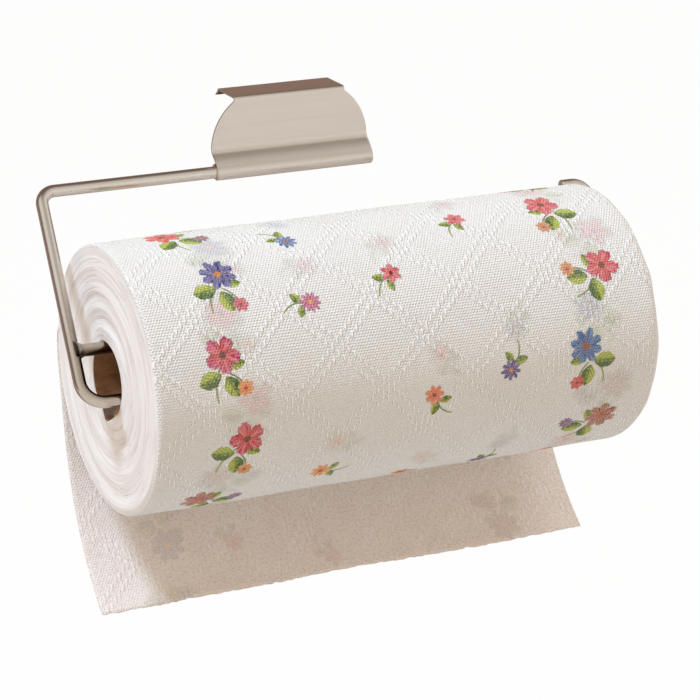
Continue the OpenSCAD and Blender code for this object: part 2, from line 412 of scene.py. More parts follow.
posy = sprig_group(
    "posy",
    leaves=[(-1, 3, 0.42, 12.5, 5.0), (1.5, 4, 0.14, 12, 4.7), (2.5, -1, 0.95, 9, 2.9)],
    stems=[(0, -4, 0.26, 21, 2.6), (2, 2, 0.1, 13, -1.5)],
    blossoms=[(12, 9, 4.2, 0.4, 6, 0.37), (-0.5, -6.5, 9.4, 0.45, 5, 0.0)],
)
bud = sprig_group(
    "bud",
    leaves=[(0, 0.5, 0.4, 8, 2.6), (0.5, 1, 0.07, 7, 2.2)],
    stems=[(0, -1, 0.22, 13, 2)],
    blossoms=[(0.3, -3.8, 5.6, 0.5, 6, 0.2)],
)

# %% [markdown]
# ## The print on a towel
# Place runs in millimetres along the paper: X across the roll, Y along the paper. Big posies
# stand in a column 39 mm from each edge, stepping left and right, and small buds are scattered
# between, in three columns. Dividing the paper into cells and drawing one sprig in each keeps
# the node count low, and White Noise gives each cell its own seed. The print starts and ends at
# the roll's back, where the hanging towel covers the seam.

# %% The print
roll_low, roll_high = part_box("paper_roll")
WIDTH = round((roll_high.x - roll_low.x) * MM_PER_M, 3)
ROLL_R = round((roll_high.y - roll_low.y) / 2 * MM_PER_M, 3)
GIRTH = math.tau * ROLL_R
POSIES_ROUND, POSY_IN, POSY_STEP, POSY_TURN = 10, 39, 4, 0.3
BUDS_ROUND, BUDS_FROM, BUDS_TO, BUD_PITCH, BUD_SHIFT = 6, 64, 215, 50.4, 17
BUD_ACROSS, BUD_ALONG = 24, 36


def cell_of(tree, field, pitch):
    """Which cell a field falls in, and its place from that cell's middle."""
    count = (field / pitch).made("FLOOR")
    return count, field - (count + 0.5) * pitch


def seeded(tree, a, b):
    """A random number from 0 to 1 that is the same all over one cell."""
    node = tree.nodes.new("ShaderNodeTexWhiteNoise")
    node.noise_dimensions = "2D"
    put(tree, node.inputs["Vector"], joined(tree, a, b))
    return Field(tree, node.outputs["Value"])


towel_print, into, out = new_group(
    "towel_print", [("Vector", "Place"), ("Float", "Blur")], [("Color", "Color"), ("Float", "Mask")]
)
x, y, _ = split(towel_print, into["Place"])
side = x.above(WIDTH / 2, 0.01)
from_edge = x * (1 - side) + (WIDTH - x) * side
row, y_in = cell_of(towel_print, y + side * GIRTH / (2 * POSIES_ROUND), GIRTH / POSIES_ROUND)
seed = seeded(towel_print, row, side * 3 + 0.5)
step = (row * 0.5).wave() * POSY_STEP
flip = (seed * 7).made("FRACT") * POSY_TURN - POSY_TURN / 2 + (row * 0.5).wave() * 0.11
spot = moved(towel_print, joined(towel_print, from_edge - POSY_IN + step, y_in), turn=flip)
border = placed(towel_print, posy, Place=spot, Seed=seed, Blur=into["Blur"])
column, x_in = cell_of(towel_print, x - BUDS_FROM, BUD_PITCH)
inside = (x - BUDS_FROM).above(0, 0.01) * (1 - (x - BUDS_TO).above(0, 0.01))
line, y_in = cell_of(towel_print, y + column * GIRTH / BUD_SHIFT, GIRTH / BUDS_ROUND)
seed = seeded(towel_print, column + 9.5, line)
x_off = x_in + (seed - 0.5) * BUD_ACROSS
y_off = y_in + (seed * 5).made("FRACT") * BUD_ALONG - BUD_ALONG / 2
spot = moved(towel_print, joined(towel_print, x_off, y_off), turn=seed)
loose = placed(towel_print, bud, Place=spot, Seed=seed, Blur=into["Blur"])
small_mask = Field(towel_print, loose["Mask"]) * inside
put(towel_print, out["Color"], mixed(towel_print, loose["Color"], border["Color"], border["Mask"]))
put(towel_print, out["Mask"], small_mask.most(Field(towel_print, border["Mask"])))
print("print", len(towel_print.nodes), "nodes")

# %% [markdown]
# ## The embossing
# Two plies are pressed together with a pattern: fine round dots all over, and diamonds drawn by
# double rows of short dashes. The dots are sums of cosines, and one more cosine cuts the rows
# into dashes. Whole numbers of dots and diamonds go round the roll, so the pattern meets itself
# there. The height feeds a Bump node, because dots this small would need millions of faces, and
# it also paints shade into the low parts and a highlight onto the dashes. Pitches are in millimetres.

# %% The embossing
emboss, into, out = new_group("emboss", [("Vector", "Place")], [("Float", "Height")])
x, y, _ = split(emboss, into["Place"])
DOT_PITCH, DOTS_ROUND = 1.6, 156
DIAMONDS_ROUND, DIAMOND_WIDE = 9, 48
ROW_OFF, DASH_PITCH = 3.5, 2.9
lattice = (x / DOT_PITCH).wave() * (y / (GIRTH / DOTS_ROUND)).wave()
dots = (lattice * 2 + (y / (GIRTH / (2 * DOTS_ROUND))).wave() + 1.5) / 4.5
rise = GIRTH / DIAMONDS_ROUND
dashes = None
for slope in (-rise / DIAMOND_WIDE, rise / DIAMOND_WIDE):
    across = (y + x * slope) / rise
    off = (across - across.rounded()).size() * rise
    rows = 1 - ((off - ROW_OFF).size()).above(1.5, 1.6)
    drawn = rows * (x / DASH_PITCH).wave().above(0.1, 1.3)
    dashes = drawn if dashes is None else dashes.most(drawn)
put(emboss, out["Height"], dots * 0.62 * (1 - dashes) + dashes)
print("emboss", len(emboss.nodes), "nodes")

# %% [markdown]
# ## Towel paper
# The paper itself is a soft white with hardly any gloss. On the roll, the place along the paper
# is worked out from the object's own coordinates: X across, and the angle round the axis times
# the radius. An unwrapped UV map would do too, but it would follow every dent of the uneven
# mesh. A second, blurred copy of the print, shifted along, is the layer underneath that shows
# through the thin paper.

# %% Towel paper
spin_joint = next(joint for joint in frame["joints"] if joint["name"] == "roll_spin")
AXIS = Vector(spin_joint["pos_m"])


def around_roll(tree):
    """Place on the wound paper in millimetres, and the distance from the axis."""
    x, y, z = split(tree, own_place(tree))
    y, z = y - AXIS.y, z - AXIS.z
    turned = z.made("ARCTAN2", y).made("WRAP", math.tau, 0.0)
    far = (y * y + z * z).power(0.5) * MM_PER_M
    return joined(tree, (x - roll_low.x) * MM_PER_M, turned * ROLL_R), far


def printed_paper(tree, shader, place, ghost_share):
    """Colour and relief of the embossed and printed side, on a material's shader."""
    height = Field(tree, placed(tree, emboss, Place=place)["Height"])
    fibre = noise(tree, place, 1.7, 3, 0.6)
    cloudy = noise(tree, place, 0.03, 2)
    clean = mixed(tree, linear(238, 236, 233), linear(230, 225, 221), (cloudy - 0.35).bounded() * 0.9)
    # painted shade in the low parts of the embossing, mixed with the paper's real fibre mottle
    hollow_shade = (0.62 - height) * 0.33 + (fibre - 0.5) * 0.12
    shaded_hollows = mixed(tree, clean, linear(190, 183, 176), hollow_shade)
    # painted highlight on the dashes that stand up
    lit_dashes = mixed(tree, shaded_hollows, linear(246, 245, 243), (height - 0.6).bounded() * 1.3)
    under = placed(tree, towel_print, Place=moved(tree, place, 4, -21), Blur=5.5)
    ghost = mixed(tree, lit_dashes, under["Color"], Field(tree, under["Mask"]) * ghost_share)
    above = placed(tree, towel_print, Place=place, Blur=0.5)
    ink = Field(tree, above["Mask"]) * (0.84 + 0.2 * height + (fibre - 0.5) * 0.35)
    put(tree, shader["Base Color"], mixed(tree, ghost, above["Color"], ink.bounded()))
    put(tree, shader["Normal"], bumped(tree, height + fibre * 0.25, 0.0009, 1))


towel_skin, tree, shader = finish("towel_skin", roughness=0.95, specular=0.15)
printed_paper(tree, shader, around_roll(tree)[0], ghost_share=0.25)
print("towel_skin", len(tree.nodes), "nodes")

# %% [markdown]
# ## The roll's ends
# The ends show the edges of the wound layers: hundreds of thin rings that never line up, a
# little wavy, with a few deeper gaps, which the bump sinks and painted shade darkens. Noise that
# runs quickly along the radius and slowly round the axis gives such rings. The cosine and sine of
# the turn carry the noise round with no seam.

# %% Paper edges
towel_edge, tree, shader = finish("towel_edge", roughness=0.95, specular=0.1)
place, far = around_roll(tree)
turn = split(tree, place)[1] / GIRTH
cosine, sine = turn.wave(), (turn - 0.25).wave()


def ringed(outward, round_axis):
    """A place for noise that changes so fast along the radius and so fast round the axis."""
    return joined(tree, far * outward, cosine * round_axis, sine * round_axis)


rings = noise(tree, ringed(0.9, 1.3), 1.0, 3, 0.6)
broad = noise(tree, ringed(0.2, 0.9), 1.0, 2)
fine = noise(tree, ringed(2.6, 2.2), 1.0, 3, 0.65)
parted = (noise(tree, ringed(0.55, 0.8), 1.0, 1) * 4).made("FRACT")
gaps_with_shade = (1 - (parted - 0.5).size().above(0.05, 0.08)) * (broad - 0.42).above(0, 0.1)
shaded = (rings * 1.2 + broad * 0.8 - 0.6).bounded()
tone = mixed(tree, linear(242, 239, 238), linear(229, 219, 215), shaded)
drawn = mixed(tree, tone, linear(205, 192, 186), (fine - 0.5).bounded() * 1.1)
# painted shade in the deeper gaps between the layers
put(tree, shader["Base Color"], mixed(tree, drawn, linear(196, 180, 172), gaps_with_shade * 0.32))
put(tree, shader["Normal"], bumped(tree, rings * 0.45 + fine * 0.2 + broad - gaps_with_shade * 0.25, 0.0008, 0.7))
print("towel_edge", len(tree.nodes), "nodes")

# %% [markdown]
# ## Helpers for meshes
# The same steps come back for every new piece: selecting it alone, reading its points, writing
# them back, and adding a modifier that is applied at once, so that the mesh is final. NumPy
# moves all the points of a piece together, which is far quicker than a loop over them.

# %% Mesh helpers
def only(piece):
    """Selects this object and nothing else, and makes it the active one."""
    bpy.ops.object.select_all(action="DESELECT")
    piece.select_set(True)
    bpy.context.view_layer.objects.active = piece


def points_of(piece):
    """The points of a piece as rows of X, Y and Z."""
    flat = np.zeros(len(piece.data.vertices) * 3)
    piece.data.vertices.foreach_get("co", flat)
    return flat.reshape(-1, 3)


def set_points(piece, points):
    """Moves the points of a piece to these places."""
    piece.data.vertices.foreach_set("co", np.asarray(points, float).ravel())
    piece.data.update()


def apply_modifier(piece, name, kind, **settings):
    """Adds a modifier with these settings to the active piece and applies it."""
    modifier = piece.modifiers.new(name, kind)
    for setting, value in settings.items():
        setattr(modifier, setting, value)
    bpy.ops.object.modifier_apply(modifier=name)


def ripples(a, b, count, fast, slow, seed):
    """A sum of random waves, quick along a and slow, in whole turns, along the angle b."""
    draw = np.random.default_rng(seed)
    total = np.zeros_like(a)
    for _ in range(count):
        pace = draw.uniform(*fast)
        turns = draw.integers(-slow, slow + 1)
        total += np.sin(pace * a + turns * b + draw.uniform(0, math.tau)) / count**0.5
    return total


print("mesh helpers ready")

# %% [markdown]
# ## The wound roll
# The CAD roll is a plain tube with bevelled rims. The real one is soft and its rims are
# rounded. A closed ring of points is pulled into the outline of the roll cut through: from the
# core up the left end, over the outside, down the right end and back through the bore. One spin
# round the axis makes the roll. A bevelled cylinder would be quicker, but its ends would have no
# points to move.

# %% The wound roll
BORE_R, CORE_R, OUTER_R = 20.6 * MM, 19.85 * MM, ROLL_R * MM
RIM_LEFT, RIM_RIGHT = Vector((2.8, 3.2)) * MM, Vector((8, 6.5)) * MM
RING_GAP = 0.9 * MM
LIP_INNER, LIP_OUTER = 0.35 * MM, 0.45 * MM
left, right = roll_low.x, roll_high.x
bend = np.radians(np.linspace(0, 90, 9))
outline = [(left, CORE_R)]
outline += [(left, r) for r in np.arange(BORE_R, OUTER_R - RIM_LEFT.y - 0.5 * MM, RING_GAP)]
for a in bend:
    inward, down = RIM_LEFT.x * (1 - math.cos(a)), RIM_LEFT.y * (1 - math.sin(a))
    outline.append((left + inward, OUTER_R - down))
outline += [(x, OUTER_R) for x in np.linspace(left + RIM_LEFT.x, right - RIM_RIGHT.x, 160)[1:-1]]
for a in bend:
    inward, down = RIM_RIGHT.x * (1 - math.sin(a)), RIM_RIGHT.y * (1 - math.cos(a))
    outline.append((right - inward, OUTER_R - down))
outline += [(right, r) for r in np.arange(OUTER_R - RIM_RIGHT.y - RING_GAP, BORE_R, -RING_GAP)]
outline += [(right, CORE_R), (right - LIP_INNER, CORE_R), (right - LIP_OUTER, BORE_R)]
outline += [(x, BORE_R) for x in np.linspace(right, left, 12)[1:-1]]
outline += [(left + LIP_OUTER, BORE_R), (left + LIP_INNER, CORE_R)]

bpy.ops.object.select_all(action="DESELECT")
bpy.ops.mesh.primitive_circle_add(vertices=len(outline), radius=OUTER_R)
wound = bpy.context.object
wound.name = "wound_towels"
set_points(wound, [(x, AXIS.y, AXIS.z + r) for x, r in outline])
bpy.ops.object.mode_set(mode="EDIT")
bpy.ops.mesh.select_all(action="SELECT")
bpy.ops.mesh.spin(steps=240, angle=math.tau, center=(0, AXIS.y, AXIS.z), axis=(1, 0, 0))
bpy.ops.mesh.select_all(action="SELECT")
bpy.ops.mesh.remove_doubles(threshold=0.00001)
bpy.ops.mesh.normals_make_consistent(inside=False)
bpy.ops.object.mode_set(mode="OBJECT")
print("outline of", len(outline), "points, spun")

# %% [markdown]
# ## Soft paper
# Towels are wound loosely: layers stand proud of each other by a fraction of a millimetre, the
# outer ones have slid a little to the left, the roll isn't quite round, the left end has a dent,
# the right rim is ragged, and the paper under the core's mouth is crumpled and sags. All of this
# differs round the axis, so it is added point by point after the spin. The mouth stays clear of
# the bar as the roll turns. Named sizes are in millimetres and degrees.

# %% Soft paper
DENT_Y, DENT_Z, DENT_WIDE, DENT_DEEP = -17, -25, 5, 2.6
CRUMPLE_AT, CRUMPLE_WIDE, CRUMPLE_TALL, CRUMPLE_OUT = 246, 34, 3.2, 2.8
SAG_AT, SAG_WIDE, SAG_DEEP = 300, 26, 2.6
p = points_of(wound)
dy, dz = p[:, 1] - AXIS.y, p[:, 2] - AXIS.z
r, angle = np.hypot(dy, dz), np.arctan2(dz, dy)
degrees = np.degrees(angle) % 360
from_left, from_right = (p[:, 0] - left) / MM, (right - p[:, 0]) / MM
at_left, at_right = np.clip(1 - from_left / 12, 0, 1), np.clip(1 - from_right / 12, 0, 1)

grown = np.clip((r - BORE_R) / (OUTER_R - BORE_R), 0, 1)
leaned = grown**1.5 * (0.9 + 1.1 * np.cos(angle - 1.1))
p[:, 0] -= (at_left * leaned * 1.1 + at_right * leaned * 0.6) * MM

layers = ripples(r / MM, angle, 9, (0.9, 3.1), 2, 5) * 0.2
layers += ripples(r / MM, angle, 6, (0.2, 0.7), 2, 6) * 0.45
within = np.clip((r - BORE_R) / (2 * MM), 0, 1) * np.clip((OUTER_R - r) / (2.5 * MM), 0, 1)
p[:, 0] += (layers - 0.6) * within * (at_right**4 - at_left**4) * MM

aside = np.hypot(dy / MM - DENT_Y, dz / MM - DENT_Z) / DENT_WIDE
p[:, 0] += at_left**4 * np.exp(-(aside**2)) * DENT_DEEP * MM * within
crumpled = np.exp(-(((degrees - CRUMPLE_AT) / CRUMPLE_WIDE) ** 2))
crumpled = crumpled * np.exp(-(((r - CORE_R) / MM / CRUMPLE_TALL) ** 2))
p[:, 0] -= at_left**4 * crumpled * CRUMPLE_OUT * MM
at_rim = np.clip(1 - from_right / 6, 0, 1) * (r > OUTER_R - 6 * MM)
p[:, 0] += ripples(angle * 9, angle, 8, (0.5, 3), 3, 8) * at_rim * 0.3 * MM

soft = np.clip(ripples(p[:, 0] / MM, angle, 7, (0.02, 0.09), 6, 7) * 0.25 - 0.4, -1, -0.02)
sagged = np.clip(1 - np.abs(degrees - SAG_AT) / SAG_WIDE, 0, 1)
sagged = sagged * (r < BORE_R + 0.1 * MM) * (from_left < 1)
near_skin = np.clip((r - OUTER_R) / (4 * MM) + 1, 0, 1)
new_r = r + soft * MM * near_skin - sagged**0.7 * SAG_DEEP * MM
p[:, 1], p[:, 2] = AXIS.y + dy * new_r / r, AXIS.z + dz * new_r / r
set_points(wound, p)
print("softened", len(p), "points")

# %% [markdown]
# ## Skin and edges on the roll
# The roll has two finishes: printed skin outside, and paper edges on all that lies more than
# 2.2 mm inside the outer radius. Each face gets the number of its material slot. The finished
# roll then stands for the CAD node and turns with the roll's body.

# %% Finishes of the roll
wound.data.materials.append(towel_skin)
wound.data.materials.append(towel_edge)
slots = np.zeros(len(wound.data.polygons), np.int32)
for face in wound.data.polygons:
    off_axis = math.hypot(face.center.y - AXIS.y, face.center.z - AXIS.z)
    slots[face.index] = off_axis < OUTER_R - 2.2 * MM
wound.data.polygons.foreach_set("material_index", slots)
only(wound)
bpy.ops.object.shade_smooth()
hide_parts("paper_roll")
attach(wound, "roll")
print("wound towels", len(wound.data.polygons), "faces")

# %% [markdown]
# ## The towel that hangs down
# The free towel comes off the back of the roll, hangs, and curls forward because it has been
# wound up. Its path is walked in short steps: each step turns a little, as tightly as the roll
# at first, then not at all, then in a wide curl. The grid of points is a mesh with a torn edge at
# the perforation. A cloth simulation would let it hang, but it would lose the curl. Lengths and
# radii are in millimetres.

# %% The hanging towel
LEAVE_R, CURL_R = 69.45, 135
WRAPPED, CURLS_FROM = 13.33, 48.33
ON_ROLL, HANGS, STEP = 9, 146, 0.1
TUCKED, TWISTED, TORN = 1.5, 1.6, 0.22
WAVES = ((0.03, 0.8), (0.055, 0.5), (0.09, 0.3))


def curvature(s):
    """Turning of the towel's path in radians per millimetre, s millimetres past the tangent."""
    return (s < WRAPPED) / LEAVE_R + (s > CURLS_FROM) / CURL_R


def stands_out(s, x):
    """How far the free towel waves and twists out of its path, in millimetres."""
    free = np.clip((s - 20) / 120, 0, 1)
    waves = sum(math.sin(x * pace + phase) * tall for (pace, tall), phase in zip(WAVES, phases))
    return free**1.5 * waves + free**2 * (x - 8) / 139 * -TWISTED


rng = np.random.default_rng(21)
rows = np.linspace(-ON_ROLL, HANGS, 84)
heading, spot, path = 0.0, np.array([LEAVE_R, 0.0]), []
for s in np.arange(0, HANGS + 2 * STEP, STEP):
    path.append((spot[0], spot[1], heading))
    heading += curvature(s) * STEP
    spot = spot + STEP * np.array([-math.sin(heading), -math.cos(heading)])
columns = np.linspace(left / MM - 0.9, right / MM, 125)
phases = rng.uniform(0, math.tau, 6)[:3]
grid, paper_uv = [], []
for s in rows:
    for x in columns:
        if s < 0:
            radius = LEAVE_R - TUCKED * (s / ON_ROLL) ** 2
            y, z, heading = radius * math.cos(-s / LEAVE_R), radius * math.sin(-s / LEAVE_R), 0.0
        else:
            y, z, heading = path[min(int(s / STEP), len(path) - 1)]
        out_by = stands_out(s, x)
        torn = rng.normal(0, TORN) * (s == rows[-1])
        y += out_by * math.cos(heading) - torn * math.sin(heading)
        z += -out_by * math.sin(heading) - torn * math.cos(heading)
        grid.append((x * MM, AXIS.y + y * MM, AXIS.z + z * MM))
        paper_uv.append((x - left / MM, -s))
count = len(columns)
faces = [
    (i * count + j, i * count + j + 1, (i + 1) * count + j + 1, (i + 1) * count + j)
    for i in range(len(rows) - 1) for j in range(count - 1)
]
mesh = bpy.data.meshes.new("hanging_towel")
mesh.from_pydata(grid, [], faces)
layer = mesh.uv_layers.new(name="paper")
layer.uv.foreach_set("vector", np.array([paper_uv[l.vertex_index] for l in mesh.loops]).ravel())
towel = bpy.data.objects.new("hanging_towel", mesh)
scene.collection.objects.link(towel)
if mesh.polygons[0].normal.y < 0:
    mesh.flip_normals()
print("hanging towel", len(rows), "rows by", count, "columns")

# %% [markdown]
# ## Front and back of the hanging towel
# The printed side faces back and the plain side forward, where the show-through of the print is
# faint. Solidify gives the sheet its thickness and puts the second material on the far side and
# the rim. Its UV map holds millimetres, so the print has the same scale as on the roll.

# %% Front and back
def paper_place(tree):
    """Place on the hanging towel in millimetres, from its own UV map."""
    node = tree.nodes.new("ShaderNodeUVMap")
    node.uv_map = "paper"
    return node.outputs["UV"]


towel_front, tree, shader = finish("towel_front", roughness=0.95, specular=0.15)
printed_paper(tree, shader, paper_place(tree), ghost_share=0.1)

towel_back, tree, shader = finish("towel_back", roughness=0.97, specular=0.1)
place = paper_place(tree)
fibre = noise(tree, place, 0.7, 4, 0.7)
cloudy = noise(tree, place, 0.06, 3, 0.55)
height = Field(tree, placed(tree, emboss, Place=place)["Height"])
clean = mixed(tree, linear(249, 243, 240), linear(240, 228, 220), (cloudy - 0.3).bounded() * 1.3)
# fibre speckle of the paper, plus painted shade in the low parts of the embossing
speckle_and_hollow_shade = (fibre - 0.46).bounded() * 1.8 + (0.5 - height) * 0.14
mottled = mixed(tree, clean, linear(190, 162, 148), speckle_and_hollow_shade)
through = placed(tree, towel_print, Place=place, Blur=2.2)
shown = Field(tree, through["Mask"]) * 0.16
put(tree, shader["Base Color"], mixed(tree, mottled, through["Color"], shown))
put(tree, shader["Normal"], bumped(tree, fibre * 0.6 + height * 0.9, 0.0005, 0.9))
towel.data.materials.append(towel_front)
towel.data.materials.append(towel_back)
only(towel)
apply_modifier(
    towel, "thick", "SOLIDIFY",
    thickness=0.45 * MM, offset=0, material_offset=1, material_offset_rim=1,
)
bpy.ops.object.shade_smooth()
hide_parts("sheet")
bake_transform(towel)
print("hanging towel", len(towel.data.polygons), "faces")

# %% [markdown]
# ## The cardboard core
# A core is wound from strips of brown card in a slow spiral, so a seam runs round inside it. Its
# CAD shape is already right, so it keeps its mesh and only gets a finish. The spiral adds the
# place along the core to the place round it, and the seam is where its fraction is one half.

# %% Core
card, tree, shader = finish("card", roughness=0.9, specular=0.2)
across, along, _ = split(tree, around_roll(tree)[0])
spiral = across / 129 + along / GIRTH
seam = 1 - ((spiral.made("FRACT") - 0.5).size()).above(0.006, 0.006)
fibre = noise(tree, joined(tree, across * 0.1, along * 0.16), 2.2, 4, 0.6)
blotch = noise(tree, joined(tree, across * 0.03, along * 0.05), 1.5, 2)
faded = (fibre + blotch - 0.6).bounded() * 1.4
tone = mixed(tree, linear(178, 132, 96), linear(132, 92, 64), faded)
put(tree, shader["Base Color"], mixed(tree, tone, linear(92, 62, 42), seam * 0.6))
put(tree, shader["Normal"], bumped(tree, fibre * 0.3 - seam, 0.0003, 0.6))
nodes["core"].data.materials.clear()
nodes["core"].data.materials.append(card)
print("card", len(tree.nodes), "nodes")

# %% [markdown]
# ## A torn tongue of card
# Where the lower bar rubs, a scrap of the core has torn loose and curled over the paper. It
# starts as a small grid that is bent round the mouth of the core: its root lies in the card's
# wall, and each row further out turns a little more, as card does when it is peeled.
# Numbers are in millimetres and degrees.

# %% Torn tongue
TONGUE_LONG, TONGUE_WIDE, TONGUE_AT = 6, 7.4, 212
ROOT_LONG, PEEL_R, PEEL_MOST, CARD_R = 2.6, 2.2, 70, 20.2
bpy.ops.object.select_all(action="DESELECT")
bpy.ops.mesh.primitive_grid_add(x_subdivisions=14, y_subdivisions=10, size=1)
tongue = bpy.context.object
tongue.name = "torn_tongue"
p = points_of(tongue)
rng = np.random.default_rng(4)
out_mm = (p[:, 1] + 0.5) * TONGUE_LONG
out_mm += np.where(p[:, 1] > 0.45, rng.uniform(-1.6, 0.3, len(p)), 0)
side_mm = p[:, 0] * (TONGUE_WIDE - out_mm * 0.75) + rng.uniform(-0.08, 0.08, len(p))
peel = np.clip((out_mm - ROOT_LONG) / 3, 0, 1) * math.radians(PEEL_MOST)
r_mm = CARD_R + PEEL_R * (1 - np.cos(peel))
x_mm = left / MM + 0.9 - np.minimum(out_mm, ROOT_LONG) - PEEL_R * np.sin(peel)
x_mm = x_mm + 0.05 * side_mm**2 * (out_mm > 1)
turned = math.radians(TONGUE_AT) + side_mm / 20.15
y_mm, z_mm = AXIS.y / MM + r_mm * np.cos(turned), AXIS.z / MM + r_mm * np.sin(turned)
set_points(tongue, np.stack([x_mm, y_mm, z_mm], 1) * MM)
only(tongue)
apply_modifier(tongue, "card_wall", "SOLIDIFY", thickness=0.45 * MM, offset=0)
apply_modifier(tongue, "softened", "SUBSURF")
bpy.ops.object.shade_smooth()
tongue.data.materials.append(card)
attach(tongue, "roll")
print("torn tongue", len(tongue.data.polygons), "faces")

# %% [markdown]
# ## The hook's two outlines
# The hook is one strip of stainless sheet, folded over the door, bent forward at the foot of
# the plate and rolled round the rod. Two outlines describe it: half of its width at each height,
# as seen from the front, which is narrow at the top, has two round shoulders and then the full
# width, and the path of the fold, as seen from the side. Numbers are in millimetres.

# %% Hook outlines
SHEET = 1.2
hook_low, hook_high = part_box("bracket")
rail_y, rail_z, roll_in = -15.925, -36.6, 3.825
full_half, top_half = hook_high.x / MM, 31.5
shoulder_r, shoulder_z, corner_r = 31.0, -26.5, 2.0
corner_z = rail_z - roll_in - SHEET / 2 + corner_r
fold_r, fold_z, front_y, back_y, lip_z = 1.1, -0.5, -11.3, 10.3, -2.2
sweep_r, sweep_y, sweep_z, crown = 5.6, -16.9, -24.246, 0.4
hem_from, hem_to = 135, 430


def half_width(z):
    """Half of the hook's width at a height."""
    if z > shoulder_z:
        round_half = full_half - shoulder_r + math.sqrt(max(shoulder_r**2 - (z - shoulder_z) ** 2, 0))
        return max(top_half, round_half) if z < 0 else top_half
    if z > corner_z:
        return full_half
    return full_half - corner_r + math.sqrt(max(corner_r**2 - (corner_z - z) ** 2, 0))


def arc(y, z, r, first, last, steps):
    """Points along an arc round y and z, from one angle in degrees to another."""
    turns = np.radians(np.linspace(first, last, steps + 1))
    return [(y + r * math.cos(t), z + r * math.sin(t)) for t in turns]


path = [(back_y, lip_z)] + arc(back_y - fold_r, fold_z, fold_r, 0, 90, 6) + [(0, SHEET / 2)]
path += arc(front_y + fold_r, fold_z, fold_r, 90, 180, 6)
path += [(front_y, z) for z in np.linspace(-0.9, sweep_z + 0.4, 40)]
path += arc(sweep_y, sweep_z, sweep_r, 0, -45, 9)
apron_top, apron_end = path[-1], arc(rail_y, rail_z, roll_in, hem_from, hem_to, 1)[0]
for t in np.linspace(0, 1, 11)[1:-1]:
    bulge = crown * math.sin(math.pi * t) / math.sqrt(2)
    path.append((apron_top[0] + (apron_end[0] - apron_top[0]) * t - bulge,
                 apron_top[1] + (apron_end[1] - apron_top[1]) * t + bulge))
path += arc(rail_y, rail_z, roll_in, hem_from, hem_to, 44)
print("hook's path of", len(path), "points")

# %% [markdown]
# ## The folded hook
# A person in a workshop would cut the flat outline and fold it. Here one row of edges is extruded
# along the path and widened or narrowed at each step to the outline. The sheet gets its
# thickness afterwards, and a fine bevel softens the cut edges so that they catch the light.

# %% Folded hook
bpy.ops.object.select_all(action="DESELECT")
bpy.ops.mesh.primitive_grid_add(x_subdivisions=64, y_subdivisions=1, size=1)
hook = bpy.context.object
hook.name = "folded_hook"
(y0, z0), (y1, z1) = path[:2]
p = points_of(hook)
first_row = p[:, 1] < 0
p[:, 0] *= np.where(first_row, half_width(z0), half_width(z1)) * 2 * MM
p[:, 1], p[:, 2] = np.where(first_row, y0, y1) * MM, np.where(first_row, z0, z1) * MM
set_points(hook, p)
for v in hook.data.vertices:
    v.select = not first_row[v.index]
for e in hook.data.edges:
    e.select = all(not first_row[i] for i in e.vertices)
for f in hook.data.polygons:
    f.select = False
bpy.ops.object.mode_set(mode="EDIT")
bpy.ops.mesh.select_mode(type="EDGE")
for (ya, za), (yb, zb) in zip(path[1:], path[2:]):
    step = (0, (yb - ya) * MM, (zb - za) * MM)
    wider = half_width(zb) / half_width(za)
    bpy.ops.mesh.extrude_region_move(TRANSFORM_OT_translate={"value": step})
    bpy.ops.transform.resize(value=(wider, 1, 1), center_override=(0, yb * MM, zb * MM))
bpy.ops.mesh.select_all(action="SELECT")
bpy.ops.mesh.normals_make_consistent(inside=False)
bpy.ops.object.mode_set(mode="OBJECT")
only(hook)
apply_modifier(hook, "sheet", "SOLIDIFY", thickness=SHEET * MM, offset=0)
apply_modifier(
    hook, "soft_edges", "BEVEL",
    width=0.16 * MM, segments=2, limit_method="ANGLE", angle_limit=math.radians(50),
)
bpy.ops.object.shade_smooth_by_angle(angle=math.radians(32))
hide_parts("bracket")
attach(hook, "holder")
made = points_of(hook)
low_off = np.round((made.min(0) - np.array(hook_low)) * MM_PER_M, 2)
high_off = np.round((made.max(0) - np.array(hook_high)) * MM_PER_M, 2)
print("folded hook", len(hook.data.polygons), "faces, off the solid's box by", low_off, high_off, "mm")

# %% [markdown]
# ## Brushed plate
# The hook is brushed along its width: fine scratches that run across the plate and spread each
# reflection up and down. Noise stretched about a hundredfold makes such scratches, and a bump
# from it spreads the light better than roughness alone would. Most of the steel's tone comes
# from what it reflects.

# %% Brushed plate
brushed, tree, shader = finish("brushed_plate", roughness=0.3, metallic=1)
here = own_place(tree)
hair = noise(tree, here, 1, 2, 0.6, stretch=(40, 9000, 9000))
streak = noise(tree, here, 1, 3, 0.5, stretch=(12, 900, 900))
smudge = noise(tree, here, 45, 3)
grain = hair * 0.6 + streak * 0.4
tone = mixed(tree, linear(222, 213, 203), linear(198, 188, 176), (grain - 0.2).bounded())
put(tree, shader["Base Color"], tone)
put(tree, shader["Roughness"], grain * 0.14 + smudge * 0.08 + 0.24)
put(tree, shader["Normal"], bumped(tree, grain, 0.00006, 0.5))
print("brushed_plate", len(tree.nodes), "nodes")
